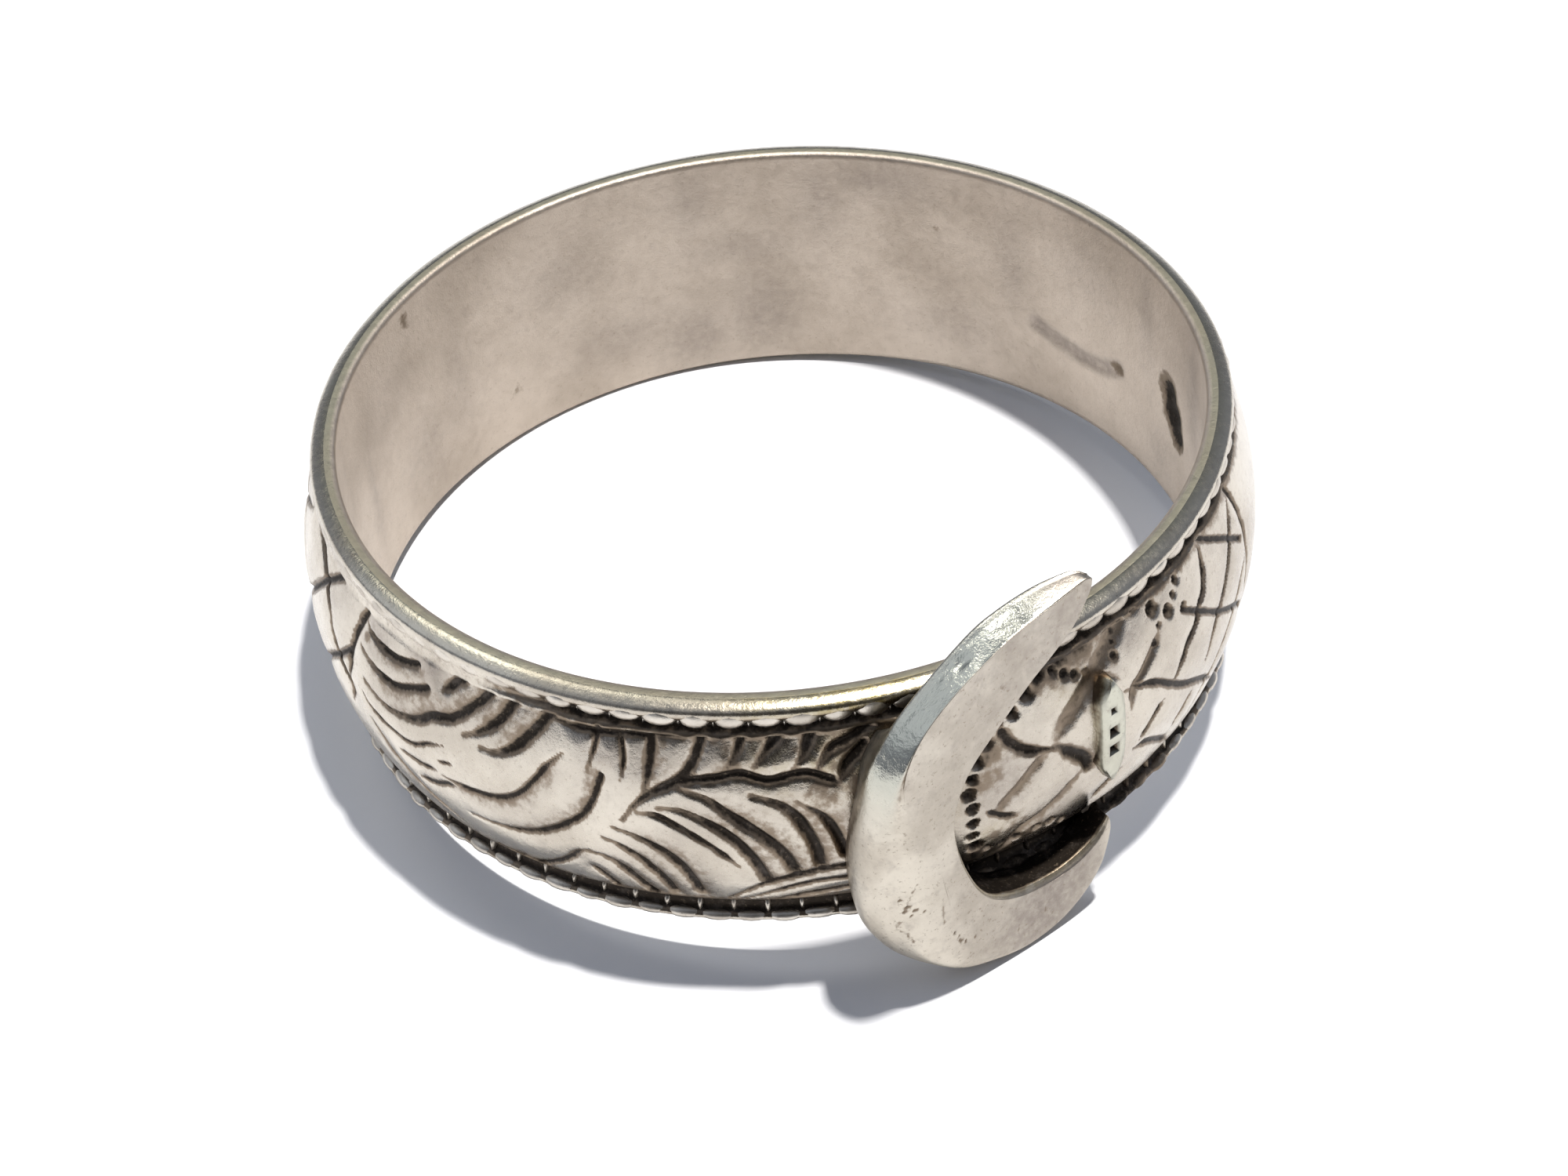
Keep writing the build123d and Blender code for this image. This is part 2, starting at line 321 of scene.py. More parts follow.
# Rows of punched dots: how far apart they are, their width and depth in millimetres, and the line that they
# follow.
dotted = [
    (0.53, 0.29, 0.16, [(43.6, 2.2), (46, 1.95), (48.9, 1.65), (51.6, 1.35)]),
    (0.27, 0.24, 0.14, [(30.4, 2.0), (31.7, 1.85), (33.3, 1.75)]),
    (0.21, 0.19, 0.12, [(42.3, 2.35), (40.2, 2.1), (39.2, 1.8), (39.0, 1.6)]),
    (0.21, 0.17, 0.10, [(52.4, 2.2), (50.5, 1.85)]),
    (0.21, 0.17, 0.10, [(46.7, 1.5), (45.5, 1.2)]),
    (0.40, 0.27, 0.18, [(28.2, 2.1), (26.3, 1.85), (24.2, 1.6), (21.8, 1.45), (20.1, 1.05), (18.7, 0.7),
        (18.1, 0.2), (18.3, -0.2), (18.4, -0.85), (18.6, -1.5)]),
    (0.34, 0.20, 0.10, [(20.5, -1.75), (24, -1.8), (28, -1.75), (31, -1.95)]),
    (0.20, 0.15, 0.10, [(-52.2, 2.5), (-51.6, 2.45)]),
]
# Places blackened like the cuts: degrees, millimetres up, reach and strength.
sooted = [
    (31.0, 2.40, 0.60, 1.0), (34.8, 2.35, 0.46, 0.95), (28.2, 2.1, 0.34, 0.9), (20.8, 0.95, 0.30, 0.7),
    (18.9, -1.8, 0.30, 0.9), (38.2, 2.3, 0.34, 0.6), (24.0, -1.2, 0.35, 0.35), (20.4, 0.4, 0.35, 0.45),
    (26.5, -1.7, 0.35, 0.45), (2.0, 0.95, 0.45, 0.45), (22.0, -2.1, 0.35, 0.7), (33.9, -0.32, 0.22, 0.50),
    (24.4, 0.80, 0.18, 0.5), (21.2, -1.3, 0.18, 0.6), (19.2, 0.3, 0.2, 0.6), (38.6, 1.6, 0.20, 0.45),
    (-24.0, 2.2, 0.3, 0.5), (-16.0, 2.1, 0.3, 0.45), (-8.0, 1.6, 0.3, 0.45), (6.0, 1.0, 0.3, 0.6),
    (9.5, 0.3, 0.35, 0.6), (-58.8, 1.7, 0.12, 0.7),
]
# Places where the tarnish has stayed outside the cuts: degrees, millimetres up, reach and strength.
tarnished = [
    (8.0, 1.8, 1.3, 0.8), (13.0, 1.2, 1.2, 0.9), (1.0, 2.2, 0.8, 0.4), (20.5, -1.4, 0.5, 0.5),
    (22.5, 1.1, 0.35, 0.4), (31.0, 1.7, 0.4, 0.35), (-3.0, 1.2, 0.5, 0.3), (10.5, 2.0, 1.1, 1.0),
    (5.5, 2.2, 0.7, 0.9), (4.5, 1.9, 0.9, 1.0), (-3.7, 2.0, 0.7, 0.55),
]
# Places made grey-brown, partly haze and partly painted shade, as in the buckle's window: the same four
# values.
hazed_and_shaded = [
    (32.0, 2.2, 0.55, 0.95), (41.7, 1.8, 0.45, 0.6), (45.0, 2.3, 0.55, 0.55), (38.4, 1.5, 0.35, 0.45),
    (49.0, 2.1, 0.5, 0.35), (25.0, 0.9, 0.55, 0.35), (26.5, -1.0, 0.5, 0.3), (33.8, -0.35, 0.28, 0.9),
    (22.0, -2.0, 0.7, 0.7), (32.0, -2.2, 0.8, 0.8), (-22.0, 1.75, 0.75, 0.55), (-17.0, 1.6, 0.5, 0.45),
    (-47.0, 2.2, 0.7, 0.75), (-57.0, 2.0, 0.7, 0.75), (-32.0, 2.1, 0.6, 0.5), (-8.0, 1.9, 0.9, 0.4),
    (-65.0, 1.8, 0.8, 0.3), (11.0, -0.4, 0.9, 0.4), (7.0, 0.4, 0.6, 0.5), (-12.0, 0.3, 0.5, 0.25),
    (4.0, 0.2, 0.7, 0.7), (21.0, 0.3, 1.0, 0.8), (19.5, 1.6, 0.6, 0.6), (28.0, -1.5, 0.9, 0.6),
    (56.0, 0.6, 2.4, 0.28), (64.0, -0.6, 2.2, 0.22),
]
# Dents of the inner wall: degrees, millimetres up, half size both ways, depth and darkness.
inner_dents = [
    (105.2, 0.10, 0.42, 0.44, 0.09, 0.95), (103.8, -0.35, 0.46, 0.46, 0.11, 1.2),
    (102.4, -0.76, 0.38, 0.36, 0.09, 1.0), (119.6, -0.70, 0.24, 0.15, 0.06, 0.62),
    (-120.2, 2.4, 0.16, 0.24, 0.02, 0.4), (-141.0, -1.57, 0.14, 0.22, 0.02, 0.3),
    (152.0, 1.1, 0.10, 0.10, 0.03, 0.4),
]
# A long scrape across it: half width, depth, darkness and the line it follows.
scrape = (0.20, 0.05, 0.8, [(136, -0.70), (132, -0.92), (127, -1.02), (123, -0.94), (119.3, -0.68)])
# Where the inner wall is stained: degrees, millimetres up, half size both ways and strength.
inner_stains = [
    (-112.0, 1.0, 1.4, 1.2, 0.25), (-104.0, -0.6, 0.25, 1.3, 0.45), (-120.0, -1.2, 0.9, 1.2, 0.35),
    (-170.0, -2.0, 1.0, 1.0, 0.55), (160.0, 2.3, 1.2, 0.6, 0.45), (-150.0, 0.8, 1.1, 0.9, 0.3),
    (95.0, 1.2, 0.5, 1.6, 0.6), (-178.0, 0.4, 1.5, 0.5, 0.3), (140.0, 0.6, 0.5, 1.5, 0.35),
    (126.0, 1.4, 0.9, 0.9, 0.3), (-130.0, -0.4, 0.5, 1.4, 0.3), (180.0, -1.6, 0.9, 1.2, 0.5),
    (150.0, -1.6, 1.6, 0.8, 0.35), (-160.0, -1.4, 1.6, 0.8, 0.35), (112.0, 1.4, 0.35, 1.4, 0.35),
    (108.0, -1.8, 0.8, 0.7, 0.35), (170.0, 1.6, 0.5, 1.3, 0.4), (-171.0, 1.9, 0.5, 1.0, 0.4),
]


def bent(a, b, c, d, t):
    """The smooth curve from b to c that comes from a and goes on to d, at the shares t of its way."""
    square, cube = 2 * a - 5 * b + 4 * c - d, 3 * b - a - 3 * c + d
    return 0.5 * (2 * b + (c - a) * t + square * t ** 2 + cube * t ** 3)


def smooth_line(points, spacing):
    """A smooth line through points, as places evenly spaced along it."""
    p = np.array(points, float)
    p = np.vstack([2 * p[0] - p[1], p, 2 * p[-1] - p[-2]])
    t = np.linspace(0, 1, 24, endpoint=False)[:, None]
    found = []
    for a, b, c, d in zip(p, p[1:], p[2:], p[3:]):
        found.append(bent(a, b, c, d, t))
    line = np.vstack(found + [p[-2:-1]])
    run = np.concatenate([[0], np.cumsum(np.linalg.norm(np.diff(line, axis=0), axis=1))])
    at = np.linspace(0, run[-1], max(2, int(run[-1] / spacing) + 1))
    return np.stack([np.interp(at, run, line[:, k]) for k in range(line.shape[1])], 1)


along_from, along_to = (math.radians(turn) * unroll_radius for turn in (engraved_from, engraved_to))
along = np.arange(along_from, along_to, fine_step)
up = np.linspace(-field_half, field_half, round(field_half * 2 / fine_step) + 1)
cut_depth = np.zeros((len(along), len(up)))
shoulder = np.zeros_like(cut_depth)
darkness = np.zeros_like(cut_depth)
shade = np.zeros_like(cut_depth)


def unrolled(points):
    """Degrees round and millimetres up, to millimetres both ways."""
    p = np.array(points, float)
    return np.stack([np.radians(p[:, 0]) * unroll_radius, p[:, 1]], 1)


def window(x, z, reach):
    """The part of the field within reach of a place, and how far each of its points is from that place."""
    i = slice(*np.searchsorted(along, (x - reach, x + reach)))
    j = slice(*np.searchsorted(up, (z - reach, z + reach)))
    return i, j, along[i, None] - x, up[None, j] - z


# How far from a cut's middle its parts reach, as shares of its width: the cut, its blackest core, its flank,
# its worn shoulders and the shadow beside the flank.
cut_reach, core_reach, flank_reach, shoulder_reach, shadow_reach = 0.57, 0.36, 1.9, 1.3, 3.2


def cut_stroke(width, depth, fine_end, shaded, points, soot=1.0):
    """Cuts a stroke of the graver, with a darker sloping flank on its shaded side and worn shoulders."""
    width = cut_widening * width
    line = smooth_line(unrolled(points), 0.03)
    share = np.linspace(0, 1, len(line))
    swell = {
        "start": np.clip(share / 0.45, 0.2, 1),
        "end": np.clip((1 - share) / 0.45, 0.2, 1),
        "both": np.clip(np.minimum(share, 1 - share) / 0.18, 0.2, 1),
        "none": np.ones(len(line)),
    }[fine_end]
    heading = np.gradient(line, axis=0)
    heading = heading / np.linalg.norm(heading, axis=1)[:, None]
    for (x, z), size, (hx, hz) in zip(line, swell, heading):
        i, j, dx, dz = window(x, z, shadow_reach * width)
        off = np.hypot(dx, dz)
        if off.size == 0:
            continue
        cut = np.clip(1 - (off / (cut_reach * width * (0.3 + 0.7 * size))) ** 1.6, 0, 1)
        side = np.clip(shaded * (dz * hx - dx * hz) / (0.4 * width), 0, 1)
        flank = np.clip(1 - off / (flank_reach * width * size), 0, 1) * side
        round_off = np.exp(-(off / (shoulder_reach * width)) ** 2) * size
        core = np.clip(1 - off / (core_reach * width * (0.35 + 0.65 * size)), 0, 1) ** 0.5
        ink = np.maximum(0.66 * cut ** 0.5 + 0.46 * core, 0.50 * flank)
        deep = depth * (0.25 + 0.75 * size) * np.maximum(cut, 0.5 * flank)
        shadow = 0.42 * np.clip(1 - off / (shadow_reach * width * size), 0, 1) * side
        cut_depth[i, j] = np.maximum(cut_depth[i, j], deep)
        shade[i, j] = np.maximum(shade[i, j], shadow)
        shoulder[i, j] = np.maximum(shoulder[i, j], 0.36 * depth * round_off)
        darkness[i, j] = np.maximum(darkness[i, j], soot * ink * (0.6 + 0.4 * size))


def punch_dots(spacing, width, depth, points):
    """Punches a row of round dots, a little uneven in size."""
    for k, (x, z) in enumerate(smooth_line(unrolled(points), spacing)):
        x, z = x + 0.025 * math.sin(2.4 * k), z + 0.025 * math.cos(1.7 * k)
        size = width * (0.92 + 0.045 * (k * 7 % 10))
        i, j, dx, dz = window(x, z, width)
        hollow = np.clip(1 - (np.hypot(dx, dz) / (0.55 * size)) ** 2, 0, 1)
        cut_depth[i, j] = np.maximum(cut_depth[i, j], depth * hollow)
        darkness[i, j] = np.maximum(darkness[i, j], hollow ** 0.5)


for row in lattice_left + fan + stem + feathers + ribs + lattice_right:
    cut_stroke(*row)
for row in broad_grooves:
    cut_stroke(*row, soot=0.56)
for row in dotted:
    punch_dots(*row)
cut_depth = np.maximum(cut_depth, shoulder)
for turn, height, reach, strength in sooted:
    i, j, dx, dz = window(math.radians(turn) * unroll_radius, height, 2 * reach)
    darkness[i, j] = np.maximum(darkness[i, j], strength * np.exp(-(dx ** 2 + dz ** 2) / reach ** 2))


def from_front(turn):
    """Degrees round the band from the place that faces the camera, to radians round from -Y."""
    return np.radians(turn) - front_turn


engraved_turns = np.degrees(along / unroll_radius)
plain_turns = np.concatenate([
    np.linspace(engraved_to + 0.6, 150, plain_columns[0]),
    np.linspace(152.5, engraved_from + 357.5, plain_columns[1]),
])
turns = np.concatenate([engraved_turns, plain_turns])
columns = len(turns)
angles = from_front(turns)
plain = np.zeros((len(plain_turns), len(up)))
cut_depth = np.vstack([cut_depth, plain])
darkness = np.vstack([darkness, plain])


def spread_over(places):
    """How strong soft-edged places are at each point of the field."""
    found = np.zeros_like(darkness)
    for turn, height, reach, strength in places:
        across = (np.radians(turns - turn) * unroll_radius)[:, None]
        found = np.maximum(found, strength * np.exp(-(across ** 2 + (up[None] - height) ** 2) / reach ** 2))
    return found


tarnish = spread_over(tarnished)
# This mark holds the haze places and the painted shade beside the cuts' flanks.
haze_and_shade = np.maximum(spread_over(hazed_and_shaded), np.vstack([shade, plain]))
rise = (field_half ** 2 + (crown_radius - field_radius) ** 2) / 2 / (crown_radius - field_radius)
dome = crown_radius - rise + np.sqrt(rise ** 2 - up ** 2)

# From the rim's flat over its worn bevel and down behind the lobes to the field, at the upper and lower edge:
# radius, height, how dark it is and how much of the rim's finish it has.
upper_profile = [
    (9.34, 2.885, 0.0, 1.0), (9.41, 2.872, 0.0, 0.8), (9.48, 2.845, 0.0, 0.6), (9.545, 2.815, 0.0, 0.4),
    (9.60, 2.785, 0.0, 0.3), (9.635, 2.745, 0.0, 0.2), (9.655, 2.69, 0.05, 0.1), (9.645, 2.62, 0.25, 0.0),
    (9.60, 2.54, 0.6, 0.0), (9.53, 2.46, 0.9, 0.0), (9.46, 2.41, 1.0, 0.0), (9.45, 2.35, 1.0, 0.0),
    (9.47, 2.30, 1.0, 0.0), (9.57, 2.25, 0.8, 0.0), (9.66, 2.20, 0.4, 0.0),
]
lower_profile = [
    (9.34, 2.885, 0.0, 1.0), (9.41, 2.88, 0.0, 0.8), (9.50, 2.87, 0.0, 0.6), (9.57, 2.85, 0.0, 0.4),
    (9.62, 2.81, 0.0, 0.3), (9.64, 2.765, 0.1, 0.2), (9.62, 2.715, 0.4, 0.1), (9.56, 2.67, 0.8, 0.0),
    (9.50, 2.62, 1.0, 0.0), (9.46, 2.56, 1.0, 0.0), (9.45, 2.47, 1.0, 0.0), (9.45, 2.37, 1.0, 0.0),
    (9.48, 2.30, 1.0, 0.0), (9.57, 2.25, 0.9, 0.0), (9.66, 2.20, 0.6, 0.0),
]
ones = np.ones(columns)
wear = sum(np.sin(k * angles * 3 + 1.7 * k * k) / k for k in (3, 5, 8, 13))
# The upper groove is deep and dark beside the buckle, worn away at the ring's left, and opens again behind.
left_of_front = np.where(turns > 180, turns - 360, turns)
opens_behind = (groove_worn[0] - left_of_front) / groove_opens[0]
opens_beside = (left_of_front - groove_worn[1]) / groove_opens[1]
groove_open = np.clip(np.maximum(opens_beside, opens_behind), 0.15, 1)
# Along the buckle's window the band's lower edge is painted dark: painted shadow of the buckle's lower limb.
in_window = np.clip(1 - abs(turns - window_middle) / 20, 0, 0.35) / 0.35
rows = []
for radius, height, dark, rim in upper_profile:
    filled = radius + (filled_radius - radius) * (1 - groove_open) * (height < bevel_foot)
    uneven = rim_unevenness * wear * (rim > 0.15)
    rows.append((filled + uneven, ones * height, dark * groove_open, ones * rim))
for j in range(len(up) - 1, -1, -1):
    near_edge = edge_dirt * np.clip(1 - (field_half - abs(up[j])) / edge_dirt_reach, 0, 1)
    near_edge = near_edge * (groove_open if up[j] > 0 else ones)
    rows.append((dome[j] - cut_depth[:, j], ones * up[j], np.maximum(darkness[:, j], near_edge), ones * 0))
for radius, height, dark, rim in reversed(lower_profile):
    groove_patina_and_window_shade = np.maximum(dark, 0.9 * in_window)
    uneven = rim_unevenness * wear * (rim > 0.15)
    rows.append((radius + uneven, -ones * height, groove_patina_and_window_shade, ones * rim))


def round_band(radius, angle, height):
    """Places round the band, in millimetres."""
    return np.stack([radius * np.sin(angle), -radius * np.cos(angle), height + 0 * angle], -1)


points = [round_band(radius, angles, height) for radius, height, dark, rim in rows]
cut_and_shade_value = [dark for radius, height, dark, rim in rows]
rim_value = [rim for radius, height, dark, rim in rows]
edge_rows = len(upper_profile)
none = [ones * 0] * edge_rows
stain_value = [tarnish[:, -1]] * edge_rows + list(tarnish.T[::-1]) + none
haze_and_shade_value = none + list(haze_and_shade.T[::-1]) + [haze_and_shade[:, 0]] * edge_rows
outer_count = len(rows) * columns


def hoop_faces(hoops, count, first=0, inward=False):
    """The faces between closed hoops of points, which follow each other with so many points each."""
    found = []
    for a in range(first, first + (hoops - 1) * count, count):
        b = a + count
        for i in range(count):
            k = (i + 1) % count
            found.append((a + i, a + k, b + k, b + i) if inward else (a + i, b + i, b + k, a + k))
    return found


faces = hoop_faces(len(rows), columns)
kind = [0] * len(faces)

inner_at = list(range(0, len(engraved_turns), 4)) + list(range(len(engraved_turns), columns))
inner_angles = angles[inner_at]
inner_turns = turns[inner_at]
rounded_edge = [(9.30, half_width), (9.23, half_width), (9.15, half_width - 0.01)]
rounded_edge.append((bore_radius, half_width - 0.07))
wall = [(bore_radius, z) for z in np.linspace(half_width - 0.16, 0.16 - half_width, 56)]
inner_profile = rounded_edge + wall + [(radius, -z) for radius, z in reversed(rounded_edge)]
n = len(inner_at)
scrape_half, scrape_deep, scrape_dark, scrape_line = scrape


def round_from(turn):
    """How far each column of the inner wall is from a turn, in millimetres round the bore."""
    return np.radians((inner_turns - turn + 180) % 360 - 180) * bore_radius


for radius, height in inner_profile:
    hollow = np.zeros(n)
    darkened = np.zeros(n)
    dulled = np.zeros(n)
    for turn, up_by, wide, tall, deep, dark in inner_dents:
        off = np.hypot(round_from(turn) / wide, (height - up_by) / tall)
        hollow = np.maximum(hollow, deep * np.clip(1.15 - off, 0, 1))
        darkened = np.maximum(darkened, dark * np.clip(1.5 - off, 0, 1))
    for turn, up_by in smooth_line(scrape_line, 0.6):
        off = np.hypot(round_from(turn), height - up_by) / scrape_half
        hollow = np.maximum(hollow, scrape_deep * np.clip(1.1 - off, 0, 1))
        dulled = np.maximum(dulled, scrape_dark * np.clip(1.6 - off, 0, 1))
    for turn, up_by, wide, tall, strength in inner_stains:
        off = np.hypot(round_from(turn) / wide, (height - up_by) / tall)
        dulled = np.maximum(dulled, strength * np.exp(-off ** 2))
    inside = radius < inner_finish_radius
    points.append(round_band(radius + hollow * inside, inner_angles, height))
    cut_and_shade_value.append(darkened * inside)
    rim_value.append(np.full(n, 0.0 if inside else 1.0))
    stain_value.append(np.zeros(n))
    haze_and_shade_value.append(dulled * inside)
faces += hoop_faces(len(inner_profile), n, outer_count, inward=True)
top_ring, bottom_ring = outer_count, outer_count + (len(inner_profile) - 1) * n
last_row = (len(rows) - 1) * columns
for i in range(n):
    k = (i + 1) % n
    stretch = [c % columns for c in range(inner_at[i], (inner_at[k] if k else columns) + 1)]
    faces.append([top_ring + i] + stretch + [top_ring + k])
    faces.append([bottom_ring + k] + [last_row + c for c in reversed(stretch)] + [bottom_ring + i])
kind += [1] * (len(faces) - len(kind))


def make_piece(name, points, faces, marks, metals, kind=None):
    """Makes a smooth mesh piece from points of the square-standing ring, with its marks and metals."""
    mesh = bpy.data.meshes.new(name)
    mesh.from_pydata(lay(points).tolist(), [], [list(face) for face in faces])
    mesh.polygons.foreach_set("use_smooth", [True] * len(mesh.polygons))
    for metal in metals:
        mesh.materials.append(metal)
    if kind:
        mesh.polygons.foreach_set("material_index", kind)
    for mark, values in marks.items():
        layer = mesh.attributes.new(mark, "FLOAT", "POINT")
        layer.data.foreach_set("value", np.asarray(values, np.float32).ravel())
    mesh.update()
    piece = bpy.data.objects.new(name, mesh)
    bpy.context.scene.collection.objects.link(piece)
    declare(piece)


def declare(piece):
    """Says that a piece belongs to the ring and stands for the solid."""
    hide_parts("buckle_ring")
    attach(piece, "root")


def worn_metal_group():
    """Shader group: silver with clouds, specks and a fine grain, and patina, haze and painted shade where the
    marks say.
    """
    group = bpy.data.node_groups.new("worn_metal", "ShaderNodeTree")
    for name in ("Metal", "Brown", "Black", "Stain", "Haze and shade colour"):
        group.interface.new_socket(name, in_out="INPUT", socket_type="NodeSocketColor")
    for name in ("Patina and shade", "Stained", "Hazed and shaded", "Cloud size", "Cloud strength", "Grain size", "Smooth",
                 "Rough", "Specks"):
        group.interface.new_socket(name, in_out="INPUT", socket_type="NodeSocketFloat")
    for name, kind in (("Colour", "Color"), ("Roughness", "Float"), ("Height", "Float")):
        group.interface.new_socket(name, in_out="OUTPUT", socket_type="NodeSocket" + kind)
    bench = NodeBench(group)
    number, spread, blend, noise = bench.number, bench.spread, bench.blend, bench.noise
    given = bench.add("NodeGroupInput").outputs

    clouds = noise(given["Cloud size"], 4.0, 0.6)
    grain = noise(given["Grain size"], 3.0, 0.65)
    fine = noise(26000.0, 2.0, 0.6)
    breaks = noise(5200.0, 3.0, 0.6)
    cloudy = number("MULTIPLY", spread(clouds, 0.36, 0.68), given["Cloud strength"], True)
    stained = number("MULTIPLY", given["Stained"], spread(breaks, 0.30, 0.62, 0.25, 1.0), True)
    haze_and_shade_amount = number("MULTIPLY", given["Hazed and shaded"], spread(breaks, 0.2, 0.7, 0.55, 1.0), True)
    uneven = number("ADD", given["Patina and shade"], spread(breaks, 0.25, 0.75, -0.16, 0.12))
    mottle = spread(noise(2400.0, 5.0, 0.7), 0.50, 0.72, 0.0, 0.55)
    mottled = number("MULTIPLY", given["Specks"], mottle, True)
    specked = number("MULTIPLY", given["Specks"], spread(noise(11000.0, 4.0, 0.7), 0.57, 0.70), True)
    colour = given["Metal"]
    for amount, patina in (
        (cloudy, "Brown"), (stained, "Stain"), (haze_and_shade_amount, "Haze and shade colour"), (spread(uneven, 0.08, 0.44), "Brown"),
        (spread(uneven, 0.54, 0.90), "Black"), (mottled, "Haze and shade colour"), (specked, "Brown"),
    ):
        colour = blend(amount, colour, given[patina])

    spotty = number("MULTIPLY", spread(grain, 0.30, 0.70), 0.5)
    patchy = number("ADD", spotty, number("MULTIPLY", spread(clouds, 0.3, 0.7), 0.5))
    reach = number("SUBTRACT", given["Rough"], given["Smooth"])
    rough = number("ADD", given["Smooth"], number("MULTIPLY", patchy, reach))
    rough = number("ADD", rough, number("MULTIPLY", spread(uneven, 0.2, 0.8), 0.22), True)
    height = number("ADD", number("MULTIPLY", grain, 0.7), number("MULTIPLY", fine, 0.3))
    bench.add("NodeGroupOutput", {"Colour": colour, "Roughness": rough, "Height": height})
    return group


worn_metal = worn_metal_group()


def silver_finish(name, metal, cloud=(420.0, 0.35), grain=7000.0, rough=(0.19, 0.33), relief_depth=0.00001,
                  specks=0.4, rim=None):
    """A silver material for one kind of surface, and for its rim if that differs.

    cloud is the size and strength of its clouds, and rough is its least and greatest roughness.
    """
    material = bpy.data.materials.new(name)
    material.use_nodes = True
    bench = NodeBench(material.node_tree)
    if rim:
        metal = bench.blend(bench.mark("rim"), metal, rim)
    worn = bench.add("ShaderNodeGroup", node_tree=worn_metal, name="worn")
    bench.feed(worn, {
        "Metal": metal, "Brown": patina_and_shade_brown, "Black": patina_and_shade_black,
        "Stain": stain_yellow, "Haze and shade colour": haze_and_shade_grey,
        "Patina and shade": bench.mark("cut"), "Stained": bench.mark("stain"), "Hazed and shaded": bench.mark("haze_and_shade"),
        "Cloud size": cloud[0], "Cloud strength": cloud[1], "Grain size": grain,
        "Smooth": rough[0], "Rough": rough[1], "Specks": specks,
    })
    inputs = {"Height": worn.outputs["Height"], "Strength": 1.0, "Distance": relief_depth}
    relief = bench.add("ShaderNodeBump", inputs, name="relief")
    bench.feed(material.node_tree.nodes["Principled BSDF"], {
        "Metallic": 1.0, "Base Color": worn.outputs["Colour"], "Roughness": worn.outputs["Roughness"],
        "Normal": relief.outputs["Normal"],
    })
    return material


engraved_silver = silver_finish("engraved_silver", silver_light, rim=silver_rim)
inside_silver = silver_finish(
    "inside_silver", silver_inside, cloud=(260.0, 0.30), grain=5000.0, rough=(0.46, 0.60),
    relief_depth=0.00002, specks=0.25, rim=silver_rim,
)
marks = {
    "cut": np.concatenate(cut_and_shade_value), "rim": np.concatenate(rim_value),
    "stain": np.concatenate(stain_value), "haze_and_shade": np.concatenate(haze_and_shade_value),
}
make_piece("band", np.vstack(points), faces, marks, [engraved_silver, inside_silver], kind)


# Beaded edges: a row of small lobes cut along each edge of the band with a beading tool, inside its rounded
# rim, with a thin bridge of metal left across the groove between each pair.
bead_count = 88
bead_radius = 9.50
bridge_radius = 9.42
# One row an edge: which side, the lobes' half size along the edge, out from it and along the finger, how far
# their middle is inside the edge, the bridges' half size and their middle, and a seed for their unevenness.
edges = {
    "beaded_edge_upper": (1, (0.365, 0.190, 0.24), 0.32, (0.03, 0.10, 0.12), 0.52, 3),
    "beaded_edge_lower": (-1, (0.37, 0.19, 0.135), 0.13, (0.06, 0.17, 0.20), 0.36, 11),
}


